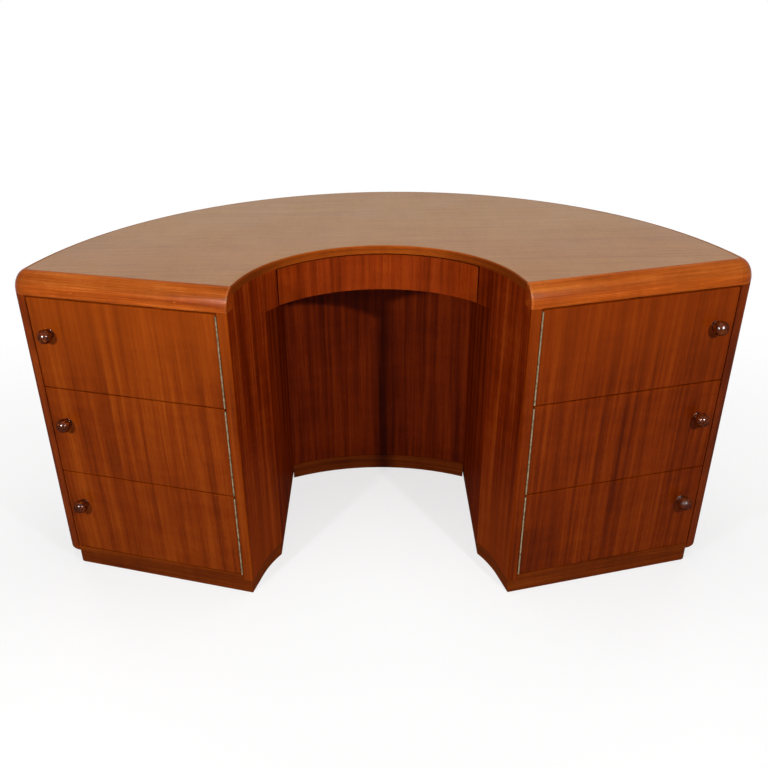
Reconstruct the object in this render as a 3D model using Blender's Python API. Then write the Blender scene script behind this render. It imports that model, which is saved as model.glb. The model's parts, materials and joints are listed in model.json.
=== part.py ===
# Curved desk with two drawer pedestals, a round kneehole and a waterfall edge.
# Metres, +Z up. The sitter is on the -Y side. The floor is Z = 0.

import bpy
import bmesh
from math import acos, asin, atan2, cos, pi, radians, sin, sqrt
from mathutils import Matrix, Vector

# Overall shape in plan. Every arc is struck from one centre on the middle line.
height = 0.750
outer_radius = 0.791
knee_radius = 0.289
knee_arc_angle = radians(75.0)
knee_run_out = 0.067
front_angle = radians(15.4)
corner_radius = 0.0395

# Boards
wall_thickness = 0.018
top_thickness = 0.018
bottom_thickness = 0.0135
joint_gap = 0.0003
curve_gap = 0.0006

# Rounded edge of the top
edge_depth = 0.031
edge_drop = 0.045
nosing_foot = 0.0005
lip_radius = 0.005
lip_steps = 3
edge_steps = 7

# Base
plinth_height = 0.037
plinth_thickness = 0.018
plinth_inset = 0.003
plinth_outer_inset = 0.032
plinth_corner_radius = 0.012
back_strip_rise = 0.005
back_strip_proud = 0.002

# Kneehole
side_inset = 0.048
back_past_middle = 0.031
back_thickness = 0.012
apron_drop = 0.102
apron_thickness = 0.018
apron_stile_width = 0.0255

# Swing drawers
stile_width = 0.0223
front_thickness = 0.019
bottom_gap = 0.0024
between_gap = 0.003
under_top_gap = 0.0045
outer_gap = 0.002
upper_front_less = 0.0072
front_edge_radius = 0.0012
front_edge_steps = 2

# Trays carried by the swing drawers
tray_end_space = 0.0066
tray_side_space = 0.010
tray_wall = 0.009
tray_floor = 0.006
tray_rise = 0.012
tray_drop = 0.045

# Piano hinges
knuckle_radius = 0.0019
pin_radius = 0.0008
pin_clearance = 0.0003
knuckle_sink = 0.0002
leaf_thickness = 0.0009
leaf_offset = 0.0003
leaf_root = 0.0005
leaf_width = 0.0153
knuckle_gap = 0.0004
hinge_end_gap = 0.002
knuckle_count = 9
knuckle_sides = 10

# Knobs
knob_radius = 0.0155
knob_neck_radius = 0.0075
knob_waist_radius = 0.0068
knob_waist_reach = 0.0042
knob_neck_rise = 0.0014
knob_foot_radius = 0.0110
knob_foot_thickness = 0.0022
knob_edge_distance = 0.0425
knob_above_middle = 0.0265
knob_sides = 18
ball_steps = 9

# Centre drawer
drawer_side_gap = 0.002
drawer_recess = 0.002
drawer_top_gap = 0.0035
drawer_back_space = 0.025
drawer_tray_side_space = 0.009
drawer_tray_wall = 0.010
drawer_tray_floor = 0.006
drawer_tray_height = 0.052
runner_height = 0.008
runner_ledge = 0.010
runner_rise = 0.0006
runner_front_space = 0.004
runner_back_space = 0.006

# Fineness of the curves
outer_steps = 28
fillet_steps = 8
knee_steps = 18
back_steps = 16
apron_steps = 20
tray_steps = 12
smooth_angle = radians(40.0)

for old in list(bpy.data.objects):
    bpy.data.objects.remove(old, do_unlink=True)


# Plan geometry, measured from the centre of the arcs, for the right-hand side

def arc_point(radius, angle):
    """Point on a concentric arc, at an angle from the middle line at the back."""
    return Vector((radius * sin(angle), radius * cos(angle)))


run_out_way = Vector((cos(knee_arc_angle), -sin(knee_arc_angle)))
front_way = Vector((cos(front_angle), sin(front_angle)))
inward = Vector((-sin(front_angle), cos(front_angle)))
knee_corner = arc_point(knee_radius, knee_arc_angle) + run_out_way * knee_run_out


def on_front(distance, depth):
    """Point at a distance along the pedestal front and a depth behind its face."""
    return knee_corner + front_way * distance + inward * depth


def crossing(start, way, other, other_way):
    """Point where two plan lines meet."""
    slant = way.cross(other_way)
    return start + way * ((other - start).cross(other_way) / slant)


def front_reach(depth, radius):
    """Distance along the front at which a line at a depth behind it meets a concentric circle."""
    base = on_front(0.0, depth)
    along = base.dot(front_way)
    return -along + sqrt(along ** 2 - base.dot(base) + radius ** 2)


front_length = front_reach(corner_radius, outer_radius - corner_radius)
fillet_centre = on_front(front_length, corner_radius)
fillet_start = atan2(-inward.y, -inward.x)
fillet_end = atan2(fillet_centre.y, fillet_centre.x)
arc_centre_y = -(outer_radius + knee_corner.y) / 2


def around(centre, radius, start, end, steps):
    """Plan points of an arc, with angles counted from +X."""
    points = []
    for step in range(steps + 1):
        angle = start + (end - start) * step / steps
        points.append(centre + Vector((radius * cos(angle), radius * sin(angle))))
    return points


def mirrored(points):
    """The same points on the other side of the middle line, in reverse order."""
    return [Vector((-point.x, point.y)) for point in reversed(points)]


def outer_half(offset):
    """Right half of the outer wall line, moved inward, from the front to the back."""
    centre = Vector((0.0, 0.0))
    points = around(fillet_centre, corner_radius - offset, fillet_start, fillet_end, fillet_steps)
    points += around(centre, outer_radius - offset, fillet_end, pi / 2, outer_steps)[1:]
    return points


def wall_y(offset, x):
    """Height in plan at which the outer wall line, moved inward, has a given X."""
    points = outer_half(offset)
    for near, far in zip(points, points[1:]):
        if far.x <= x <= near.x and near.y > 0:
            return near.y + (far.y - near.y) * (near.x - x) / (near.x - far.x)
    return points[-1].y


def outer_run(offset):
    """Whole outer wall line, moved inward, from the right front to the left front."""
    half = outer_half(offset)
    return half + mirrored(half)[1:]


def knee_straight(offset, depth):
    """Point on the straight part of the kneehole line, moved into the pedestal."""
    start = arc_point(knee_radius + offset, knee_arc_angle)
    return crossing(start, run_out_way, on_front(0.0, depth), front_way)


def knee_side(offset, depth, end_angle, steps):
    """Kneehole line of the right pedestal, from near the front to an angle on its arc."""
    points = [knee_straight(offset, depth)]
    for step in range(steps + 1):
        angle = knee_arc_angle + (end_angle - knee_arc_angle) * step / steps
        points.append(arc_point(knee_radius + offset, angle))
    return points


def knee_run(offset, depth):
    """Whole kneehole line, from the right front to the left front."""
    half = knee_side(offset, depth, 0.0, knee_steps)
    return half + mirrored(half)[1:]


# Meshes

def level(points, z):
    """Plan points raised to one height."""
    return [Vector((point.x, point.y, z)) for point in points]


def skin(sections):
    """Closed mesh through equal closed sections, with both ends capped."""
    shape = bmesh.new()
    rings = [[shape.verts.new(point) for point in section] for section in sections]
    count = len(rings[0])
    for near, far in zip(rings, rings[1:]):
        for index in range(count):
            following = (index + 1) % count
            shape.faces.new((near[index], near[following], far[following], far[index]))
    shape.faces.new(rings[0])
    shape.faces.new(rings[-1])
    return shape


def prism(outline, low, high):
    """Flat board with a plan outline."""
    return skin([level(outline, low), level(outline, high)])


def open_tray(outline, inside, low, floor, high):
    """Tray with a rim, open at the top."""
    shape = bmesh.new()
    outer_low = [shape.verts.new(point) for point in level(outline, low)]
    outer_high = [shape.verts.new(point) for point in level(outline, high)]
    inner_high = [shape.verts.new(point) for point in level(inside, high)]
    inner_low = [shape.verts.new(point) for point in level(inside, low + floor)]
    rings = [outer_low, outer_high, inner_high, inner_low]
    count = len(outline)
    for near, far in zip(rings, rings[1:]):
        for index in range(count):
            following = (index + 1) % count
            shape.faces.new((near[index], near[following], far[following], far[index]))
    shape.faces.new(outer_low)
    shape.faces.new(inner_low)
    return shape


def turned(profile, sides):
    """Turned piece about the -Y axis, from (radius, reach) pairs that start and end on it."""
    shape = bmesh.new()
    first = shape.verts.new((0.0, -profile[0][1], 0.0))
    last = shape.verts.new((0.0, -profile[-1][1], 0.0))
    rings = []
    for radius, reach in profile[1:-1]:
        ring = []
        for side in range(sides):
            angle = 2 * pi * side / sides
            ring.append(shape.verts.new((radius * cos(angle), -reach, radius * sin(angle))))
        rings.append(ring)
    for side in range(sides):
        following = (side + 1) % sides
        shape.faces.new((first, rings[0][side], rings[0][following]))
        shape.faces.new((last, rings[-1][side], rings[-1][following]))
        for near, far in zip(rings, rings[1:]):
            shape.faces.new((near[side], near[following], far[following], far[side]))
    return shape


# Materials

def paint(name, colour, roughness, metallic=0.0):
    """Plain surface colour."""
    material = bpy.data.materials.new(name)
    material.use_nodes = True
    surface = material.node_tree.nodes["Principled BSDF"]
    surface.inputs["Base Color"].default_value = (*colour, 1.0)
    surface.inputs["Roughness"].default_value = roughness
    surface.inputs["Metallic"].default_value = metallic
    return material


veneer_top = paint("veneer_top", (0.27, 0.105, 0.032), 0.30)
veneer_front = paint("veneer_front", (0.21, 0.045, 0.010), 0.33)
veneer_wall = paint("veneer_wall", (0.13, 0.020, 0.004), 0.33)
nosing_wood = paint("nosing_wood", (0.38, 0.105, 0.018), 0.28)
plinth_wood = paint("plinth_wood", (0.24, 0.058, 0.011), 0.38)
tray_wood = paint("tray_wood", (0.45, 0.28, 0.14), 0.60)
knob_wood = paint("knob_wood", (0.055, 0.012, 0.005), 0.18)
hinge_brass = paint("hinge_brass", (0.40, 0.32, 0.17), 0.42, 1.0)


# Objects

def add(name, shape, material, location=(0.0, 0.0, 0.0), turn=0.0, parent=None):
    """Named object from a closed shape."""
    bmesh.ops.recalc_face_normals(shape, faces=shape.faces)
    mesh = bpy.data.meshes.new(name)
    shape.to_mesh(mesh)
    shape.free()
    mesh.materials.append(material)
    piece = bpy.data.objects.new(name, mesh)
    piece.location = location
    piece.rotation_euler = (0.0, 0.0, turn)
    piece.parent = parent
    bpy.context.scene.collection.objects.link(piece)
    return piece


def sided(shape, side):
    """Shape for the right-hand side, mirrored when it is wanted on the left."""
    if side < 0:
        bmesh.ops.transform(shape, matrix=Matrix.Scale(-1.0, 4, (1.0, 0.0, 0.0)), verts=shape.verts)
    return shape


def soften(piece, radius, steps):
    """Round the square edges of a board."""
    rounding = piece.modifiers.new("edge", "BEVEL")
    rounding.width = radius
    rounding.segments = steps
    rounding.limit_method = "ANGLE"


def smooth(piece):
    """Smooth shading that keeps the sharp edges."""
    for face in piece.data.polygons:
        face.use_smooth = True
    piece.data.set_sharp_from_angle(angle=smooth_angle)


def side_name(base, side):
    """Name of a piece on the sitter's right or left."""
    return base + ("_right" if side > 0 else "_left")


centre = (0.0, arc_centre_y, 0.0)
top_under = height - top_thickness
wall_top = top_under - joint_gap
nosing_under = height - edge_drop - nosing_foot
front_under = nosing_under - joint_gap
plinth_top = plinth_height - joint_gap
bottom_top = plinth_height + bottom_thickness
back_strip_height = plinth_height + back_strip_rise
apron_under = height - apron_drop
side_x = knee_radius - side_inset
back_radius = (knee_radius + outer_radius) / 2 + back_past_middle
apron_drawer_half_width = side_x - apron_stile_width
drawer_half_width = apron_drawer_half_width - drawer_side_gap
drawer_tray_half_width = drawer_half_width - drawer_tray_side_space
hinge_space = 2 * (leaf_offset + leaf_thickness + joint_gap)
knuckle_stand_off = knuckle_radius - knuckle_sink


# Fixed pieces

def edge_profile(depth, drop, first_z):
    """Rounded edge from the wall face up to the top, as (offset, height) pairs."""
    pairs = []
    for step in range(edge_steps + 1):
        angle = pi / 2 * step / edge_steps
        pairs.append((edge_depth - depth * cos(angle), first_z + drop * sin(angle)))
    return pairs


def outer_wall():
    """Bent outer wall that rolls over into the top."""
    spring = height - edge_drop
    outside = [(0.0, plinth_height)] + edge_profile(edge_depth, edge_drop, spring)
    inside_depth = edge_depth - wall_thickness
    inside_drop = edge_drop - top_thickness
    inside = [(wall_thickness, plinth_height)] + edge_profile(inside_depth, inside_drop, spring)
    profile = outside + inside[::-1]
    runs = [level(outer_run(offset), z) for offset, z in profile]
    return skin([list(section) for section in zip(*runs)])


smooth(add("outer_wall", outer_wall(), veneer_wall, centre))


def top_outline(offset, inset):
    """Outline of the top board: outer edge, then the kneehole edge back again."""
    outer = outer_run(offset)
    front_depth = edge_depth + joint_gap
    knee = knee_run(inset, front_depth)
    return outer + knee[::-1]


def top_board():
    """Top board with an eased edge over the kneehole."""
    offset = edge_depth + joint_gap
    sections = [level(top_outline(offset, 0.0), top_under)]
    for step in range(lip_steps + 1):
        angle = pi / 2 * step / lip_steps
        inset = lip_radius * (1 - cos(angle))
        z = height - lip_radius * (1 - sin(angle))
        sections.append(level(top_outline(offset, inset), z))
    return skin(sections)


smooth(add("top_board", top_board(), veneer_top, centre))


def nosing():
    """Rounded front edge of one pedestal's top."""
    pairs = [(edge_depth, nosing_under), (0.0, nosing_under)]
    pairs += edge_profile(edge_depth, edge_drop, height - edge_drop)
    sections = []
    for distance in (0.0, front_length - joint_gap):
        points = [on_front(distance, offset) for offset, z in pairs]
        sections.append([Vector((p.x, p.y, z)) for p, (offset, z) in zip(points, pairs)])
    return skin(sections)


def stile():
    """Narrow upright beside the hinges."""
    depth = edge_depth
    outline = [on_front(0.0, 0.0), on_front(stile_width, 0.0)]
    outline += [on_front(stile_width, depth), knee_straight(0.0, depth)]
    return prism(outline, plinth_height, front_under)


side_angle = asin(side_x / knee_radius)
side_start = knee_radius * cos(side_angle)


def wall_end_angle(radius, y):
    """Angle at which a concentric arc reaches a line across the kneehole."""
    return acos(y / radius)


def knee_wall():
    """Curved wall from the stile to the straight side of the kneehole."""
    depth = edge_depth + joint_gap
    face = knee_side(0.0, depth, side_angle, knee_steps // 2)
    back_angle = wall_end_angle(knee_radius + wall_thickness, side_start)
    back = knee_side(wall_thickness, depth, back_angle, knee_steps // 2)
    return prism(face + back[::-1], plinth_height, wall_top)


side_outer_x = side_x + wall_thickness


def arc_y(radius, x):
    """Distance from the centre line of the arcs at which an arc has a given X."""
    return sqrt(radius ** 2 - x ** 2)


def inner_side():
    """Straight board between a pedestal and the kneehole, cut clear of the rolled edge."""
    start = side_start + joint_gap
    end = wall_y(wall_thickness + joint_gap, side_outer_x)
    top_end = wall_y(edge_depth + joint_gap, side_outer_x)
    outline = [(start, plinth_height), (end, plinth_height), (end, height - edge_drop)]
    outline += [(top_end, wall_top), (start, wall_top)]
    return skin([[Vector((x, y, z)) for y, z in outline] for x in (side_x, side_outer_x)])


def arc_between(radius, half_width, steps):
    """Plan points of an arc centred on the middle line, between two equal X values."""
    half_angle = asin(half_width / radius)
    return around(Vector((0.0, 0.0)), radius, pi / 2 - half_angle, pi / 2 + half_angle, steps)


def curved_board(radius, thickness, half_width, steps):
    """Outline of a curved board with ends parallel to the middle line."""
    near = arc_between(radius, half_width, steps)
    far = arc_between(radius + thickness, half_width, steps)
    return near + far[::-1]


bay_half_width = side_x - joint_gap
back_panel_outline = curved_board(back_radius, back_thickness, bay_half_width, back_steps)
back_panel_low = back_strip_height + joint_gap
back_strip_radius = back_radius - back_strip_proud


def pedestal_bottom():
    """Bottom board of one pedestal; its front edge shows under the drawers."""
    clear = wall_thickness + joint_gap
    end = front_length - joint_gap
    outline = [on_front(stile_width + joint_gap, 0.0), on_front(end, 0.0), on_front(end, clear)]
    wall = outer_half(clear)[1:]
    x = side_outer_x + joint_gap
    outline += [point for point in wall if point.x > x + joint_gap]
    outline += [Vector((x, wall_y(clear, x)))]
    start = side_start + joint_gap
    outline += [Vector((x, start))]
    back_angle = wall_end_angle(knee_radius + clear, start)
    depth = edge_depth + joint_gap
    knee = knee_side(clear, depth, back_angle, knee_steps // 2)
    outline += knee[::-1]
    outline += [on_front(stile_width + joint_gap, depth)]
    return prism(outline, plinth_height, bottom_top)


def back_bottom():
    """Bottom board behind the kneehole."""
    near_radius = back_strip_radius + plinth_thickness + curve_gap
    far_radius = outer_radius - wall_thickness - curve_gap
    near = arc_between(near_radius, bay_half_width, back_steps)
    far = arc_between(far_radius, bay_half_width, back_steps)
    return prism(near + far[::-1], plinth_height, bottom_top)


add("back_panel", prism(back_panel_outline, back_panel_low, wall_top), veneer_wall, centre)
add("back_bottom", back_bottom(), tray_wood, centre)


def back_strip():
    """Low strip along the foot of the back panel."""
    outline = curved_board(back_strip_radius, plinth_thickness, bay_half_width, back_steps)
    return prism(outline, 0.0, back_strip_height)


add("back_strip", back_strip(), plinth_wood, centre)

plinth_outer_radius = outer_radius - plinth_outer_inset
plinth_inner_radius = plinth_outer_radius - plinth_thickness


def plinth_front():
    """Front strip of one pedestal's base, rounded at its outer end."""
    depth = plinth_inset + plinth_corner_radius
    reach = front_reach(depth, plinth_outer_radius - plinth_corner_radius)
    round_centre = on_front(reach, depth)
    end = atan2(round_centre.y, round_centre.x)
    back = plinth_inset + plinth_thickness
    outline = [on_front(plinth_inset, plinth_inset)]
    outline += around(round_centre, plinth_corner_radius, fillet_start, end, fillet_steps)
    outline += [on_front(front_reach(back, plinth_outer_radius), back)]
    outline += [on_front(plinth_inset, back)]
    return prism(outline, 0.0, plinth_top)


def plinth_start_angle(radius):
    """Angle from +X at which an arc of the base meets the back of its front strip."""
    depth = plinth_inset + plinth_thickness + joint_gap
    point = on_front(front_reach(depth, radius), depth)
    return atan2(point.y, point.x)


def plinth_outer():
    """Curved strip of the base under the outer wall."""
    middle = Vector((0.0, 0.0))
    steps = 2 * outer_steps
    outside_start = plinth_start_angle(plinth_outer_radius)
    inside_start = plinth_start_angle(plinth_inner_radius)
    outside = around(middle, plinth_outer_radius, outside_start, pi - outside_start, steps)
    inside = around(middle, plinth_inner_radius, inside_start, pi - inside_start, steps)
    return prism(outside + inside[::-1], 0.0, plinth_top)


add("plinth_outer", plinth_outer(), plinth_wood, centre)


def plinth_knee():
    """Curved strip of the base under the kneehole wall."""
    depth = plinth_inset + plinth_thickness + joint_gap
    near = plinth_inset
    far = plinth_inset + plinth_thickness
    near_end = wall_end_angle(knee_radius + near, side_start)
    far_end = wall_end_angle(knee_radius + far, side_start)
    face = knee_side(near, depth, near_end, knee_steps // 2)
    back = knee_side(far, depth, far_end, knee_steps // 2)
    return prism(face + back[::-1], 0.0, plinth_top)


def plinth_side():
    """Straight strip of the base under the inner side."""
    start = side_start + joint_gap
    near = side_x + plinth_inset
    far = near + plinth_thickness
    end = arc_y(plinth_inner_radius - joint_gap, far)
    outline = [Vector((near, start)), Vector((far, start)), Vector((far, end)), Vector((near, end))]
    return prism(outline, 0.0, plinth_top)


def apron_stile():
    """Fixed curved end of the apron beside the centre drawer."""
    near = knee_radius
    far = knee_radius + apron_thickness
    low_x = apron_drawer_half_width
    high_x = bay_half_width
    outline = []
    for radius, ends in ((near, (low_x, high_x)), (far, (high_x, low_x))):
        for x in ends:
            outline.append(Vector((x, arc_y(radius, x))))
    return prism(outline, apron_under, wall_top)


runner_low = apron_under + runner_rise
runner_high = runner_low + runner_height


def runner():
    """Ledge that carries one side of the centre drawer."""
    near = drawer_tray_half_width - runner_ledge
    start = arc_y(knee_radius + apron_thickness, near) + runner_front_space
    end = arc_y(back_radius, side_x) - runner_back_space
    outline = [Vector((near, start)), Vector((bay_half_width, start))]
    outline += [Vector((bay_half_width, end)), Vector((near, end))]
    return prism(outline, runner_low, runner_high)


for side in (1, -1):
    smooth(add(side_name("nosing", side), sided(nosing(), side), nosing_wood, centre))
    add(side_name("stile", side), sided(stile(), side), veneer_front, centre)
    smooth(add(side_name("knee_wall", side), sided(knee_wall(), side), veneer_wall, centre))
    add(side_name("inner_side", side), sided(inner_side(), side), veneer_wall, centre)
    add(side_name("bottom", side), sided(pedestal_bottom(), side), plinth_wood, centre)
    add(side_name("plinth_front", side), sided(plinth_front(), side), plinth_wood, centre)
    add(side_name("plinth_knee", side), sided(plinth_knee(), side), plinth_wood, centre)
    add(side_name("plinth_side", side), sided(plinth_side(), side), plinth_wood, centre)
    add(side_name("apron_stile", side), sided(apron_stile(), side), veneer_front, centre)
    add(side_name("runner", side), sided(runner(), side), tray_wood, centre)


# Centre drawer, which slides towards the sitter

def drawer_front():
    """Curved front of the centre drawer."""
    radius = knee_radius + drawer_recess
    outline = curved_board(radius, apron_thickness, drawer_half_width, apron_steps)
    return prism(outline, apron_under, top_under - drawer_top_gap)


def drawer_tray_outline(inset):
    """Outline of the centre drawer's tray, moved inward."""
    radius = knee_radius + drawer_recess + apron_thickness + curve_gap + inset
    half_width = drawer_tray_half_width - inset
    back = arc_y(back_radius, drawer_tray_half_width) - drawer_back_space - inset
    outline = arc_between(radius, half_width, apron_steps)
    outline += [Vector((-half_width, back)), Vector((half_width, back))]
    return outline


def drawer_tray():
    """Shallow tray behind the curved front."""
    low = runner_high + joint_gap
    inside = drawer_tray_outline(drawer_tray_wall)
    return open_tray(drawer_tray_outline(0.0), inside, low, drawer_tray_floor, low + drawer_tray_height)


smooth(add("centre_drawer_front", drawer_front(), veneer_front, centre))
add("centre_drawer_tray", drawer_tray(), tray_wood, centre)


# Swing drawers. Their own axes are X along the front, Y inward, with the hinge at X = Y = 0.

hinge_distance = stile_width + hinge_space / 2
hinge_place = on_front(hinge_distance, -knuckle_stand_off)
front_near = hinge_space / 2
front_far = front_length - outer_gap - hinge_distance
front_face = knuckle_stand_off
front_back = knuckle_stand_off + front_thickness
tray_radius = front_far - tray_end_space


def drawer_board(tall):
    """Flat front of a swing drawer."""
    outline = [Vector((front_near, front_face)), Vector((front_far, front_face))]
    outline += [Vector((front_far, front_back)), Vector((front_near, front_back))]
    return prism(outline, 0.0, tall)


def tray_outline(inset):
    """Sector outline of a swing tray about its hinge, moved inward."""
    radius = tray_radius - inset
    near_y = front_back + joint_gap + inset
    straight_back = Vector((sin(front_angle), cos(front_angle)))
    square_off = Vector((cos(front_angle), -sin(front_angle)))
    side_point = square_off * (tray_side_space + inset)
    along = side_point.dot(straight_back)
    reach = -along + sqrt(along ** 2 - side_point.dot(side_point) + radius ** 2)
    far_corner = side_point + straight_back * reach
    near_corner = crossing(side_point, straight_back, Vector((0.0, near_y)), Vector((1.0, 0.0)))
    start = asin(near_y / radius)
    end = atan2(far_corner.y, far_corner.x)
    middle = Vector((0.0, 0.0))
    return [near_corner] + around(middle, radius, start, end, tray_steps)


def swing_tray(tall):
    """Open tray behind a swing front."""
    return open_tray(tray_outline(0.0), tray_outline(tray_wall), tray_rise, tray_floor, tall - tray_drop)


def knob():
    """Turned ball knob on a waisted neck."""
    profile = [(0.0, joint_gap), (knob_foot_radius, joint_gap), (knob_foot_radius, knob_foot_thickness)]
    profile.append((knob_waist_radius, knob_waist_reach))
    ball_start = knob_waist_reach + knob_neck_rise
    knob_reach = ball_start + sqrt(knob_radius ** 2 - knob_neck_radius ** 2)
    start = asin(knob_neck_radius / knob_radius)
    for step in range(ball_steps):
        angle = start + (pi - start) * step / ball_steps
        profile.append((knob_radius * sin(angle), knob_reach - knob_radius * cos(angle)))
    profile.append((0.0, knob_reach + knob_radius))
    return turned(profile, knob_sides)


def barrel_ring(radius, mouth):
    """Points round a knuckle, from one side of the leaf's root to the other."""
    points = []
    for step in range(knuckle_sides + 1):
        angle = pi / 2 + mouth + (2 * pi - 2 * mouth) * step / knuckle_sides
        points.append(Vector((radius * cos(angle), radius * sin(angle))))
    return points


def hinge_leaf(tall, owns_pin, way):
    """One leaf of a piano hinge; way is +1 for the leaf on the drawer, -1 for the stile's."""
    start = hinge_end_gap
    pitch = (tall - 2 * hinge_end_gap) / knuckle_count
    spans = []
    for index in range(knuckle_count):
        if (index % 2 == 0) == owns_pin:
            low = start + pitch * index + (knuckle_gap / 2 if index > 0 else 0.0)
            high = start + pitch * (index + 1) - (knuckle_gap / 2 if index < knuckle_count - 1 else 0.0)
            spans.append((low, high))
    top = start + pitch * knuckle_count
    levels = sorted({start, top} | {z for span in spans for z in span})
    near = leaf_offset
    far = leaf_offset + leaf_thickness
    leaf_start = knuckle_radius + leaf_root
    leaf_end = leaf_start + leaf_width
    mouth = asin((far - near) / 2 / knuckle_radius)
    outer = barrel_ring(knuckle_radius, mouth)
    inner = barrel_ring(pin_radius if owns_pin else pin_radius + pin_clearance, mouth)
    shape = bmesh.new()

    def rows(plan):
        return [[shape.verts.new((way * p.x, p.y, z)) for p in plan] for z in levels]

    first_root = Vector((near, leaf_start))
    last_root = Vector((far, leaf_start))
    plate = [first_root, last_root, Vector((far, leaf_end)), Vector((near, leaf_end))]
    plates = rows(plate)
    outers = rows(outer)
    inners = rows(inner)
    shape.faces.new(plates[0])
    shape.faces.new(plates[-1])

    def wall(low_ring, high_ring, pairs):
        for a, b in pairs:
            shape.faces.new((low_ring[a], low_ring[b], high_ring[b], high_ring[a]))

    count = len(outer)
    chain = [(index, index + 1) for index in range(count - 1)]
    closed = chain + [(count - 1, 0)]

    def ring_end(index):
        plate_row, outer_row, inner_row = plates[index], outers[index], inners[index]
        at_tip = index in (0, len(levels) - 1)
        if owns_pin and at_tip:
            shape.faces.new([plate_row[0]] + outer_row + [plate_row[1]])
            return
        for a, b in chain:
            shape.faces.new((outer_row[a], outer_row[b], inner_row[b], inner_row[a]))
        mouth_face = [plate_row[0], outer_row[0], inner_row[0]]
        mouth_face += [inner_row[-1], outer_row[-1], plate_row[1]]
        shape.faces.new(mouth_face)

    for index, (low, high) in enumerate(zip(levels, levels[1:])):
        wall(plates[index], plates[index + 1], [(1, 2), (2, 3), (3, 0)])
        if (low, high) in spans:
            wall(outers[index], outers[index + 1], chain)
            for plate_side, ring_side in ((0, 0), (1, count - 1)):
                shape.faces.new((plates[index][plate_side], outers[index][ring_side],
                                 outers[index + 1][ring_side], plates[index + 1][plate_side]))
            ring_end(index)
            ring_end(index + 1)
            if not owns_pin:
                wall(inners[index], inners[index + 1], closed)
        else:
            wall(plates[index], plates[index + 1], [(0, 1)])
            if owns_pin:
                wall(inners[index], inners[index + 1], closed)
    loose = [vertex for vertex in shape.verts if not vertex.link_faces]
    bmesh.ops.delete(shape, geom=loose, context="VERTS")
    return shape


def swing_drawer(side, row, low, tall):
    """One swing drawer with its front, tray, knob and hinge."""
    turn = side * front_angle
    place = (side * hinge_place.x, arc_centre_y + hinge_place.y, low)
    axis = bpy.data.objects.new(side_name("hinge_axis_" + row, side), None)
    axis.location = place
    axis.rotation_euler = (0.0, 0.0, turn)
    bpy.context.scene.collection.objects.link(axis)

    def own(base, shape, material):
        return add(side_name(row + "_" + base, side), sided(shape, side), material, parent=axis)

    board = own("front", drawer_board(tall), veneer_front)
    soften(board, front_edge_radius, front_edge_steps)
    own("tray", swing_tray(tall), tray_wood)
    own("leaf", hinge_leaf(tall, False, 1), hinge_brass)
    own("stile_leaf", hinge_leaf(tall, True, -1), hinge_brass)
    ball = own("knob", knob(), knob_wood)
    ball.location = (side * (front_far - knob_edge_distance), front_face, tall / 2 + knob_above_middle)
    smooth(ball)


lower_low = bottom_top + bottom_gap
fronts_height = nosing_under - under_top_gap - lower_low - 2 * between_gap
lower_front_height = (fronts_height + upper_front_less) / 3
upper_front_height = lower_front_height - upper_front_less
middle_low = lower_low + lower_front_height + between_gap
upper_low = middle_low + lower_front_height + between_gap

for side in (1, -1):
    swing_drawer(side, "lower", lower_low, lower_front_height)
    swing_drawer(side, "middle", middle_low, lower_front_height)
    swing_drawer(side, "upper", upper_low, upper_front_height)
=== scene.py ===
import json
from math import asin, atan2, cos, pi, radians, sin, sqrt

import bmesh
import bpy
import numpy as np
from mathutils import Euler, Matrix, Vector

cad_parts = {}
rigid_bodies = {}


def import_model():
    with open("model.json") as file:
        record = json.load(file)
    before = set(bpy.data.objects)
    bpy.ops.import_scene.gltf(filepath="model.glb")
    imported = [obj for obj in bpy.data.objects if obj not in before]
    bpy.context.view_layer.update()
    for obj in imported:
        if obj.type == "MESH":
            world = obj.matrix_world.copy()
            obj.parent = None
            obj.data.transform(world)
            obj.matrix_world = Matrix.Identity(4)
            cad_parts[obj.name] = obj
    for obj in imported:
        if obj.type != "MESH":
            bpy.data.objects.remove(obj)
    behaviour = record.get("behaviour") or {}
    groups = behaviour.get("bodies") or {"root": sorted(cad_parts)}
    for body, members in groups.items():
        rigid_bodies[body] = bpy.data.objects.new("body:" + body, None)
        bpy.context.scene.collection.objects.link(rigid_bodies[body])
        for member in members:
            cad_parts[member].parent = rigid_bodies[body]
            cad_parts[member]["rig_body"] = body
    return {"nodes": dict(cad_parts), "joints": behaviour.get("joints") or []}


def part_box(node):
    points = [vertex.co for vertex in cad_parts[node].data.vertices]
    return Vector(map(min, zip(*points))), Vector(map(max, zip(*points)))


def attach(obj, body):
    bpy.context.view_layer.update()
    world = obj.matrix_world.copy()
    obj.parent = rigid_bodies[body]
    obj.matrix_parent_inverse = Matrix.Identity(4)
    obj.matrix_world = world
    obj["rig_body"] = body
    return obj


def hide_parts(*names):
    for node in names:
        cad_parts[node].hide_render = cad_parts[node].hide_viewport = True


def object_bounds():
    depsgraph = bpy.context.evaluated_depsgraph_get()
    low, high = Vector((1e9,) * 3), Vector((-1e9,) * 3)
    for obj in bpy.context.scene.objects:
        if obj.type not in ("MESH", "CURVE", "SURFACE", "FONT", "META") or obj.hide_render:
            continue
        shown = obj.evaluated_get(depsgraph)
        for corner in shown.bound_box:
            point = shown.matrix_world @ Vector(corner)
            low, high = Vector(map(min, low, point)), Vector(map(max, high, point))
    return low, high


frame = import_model()
cad_low, cad_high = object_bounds()

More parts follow.
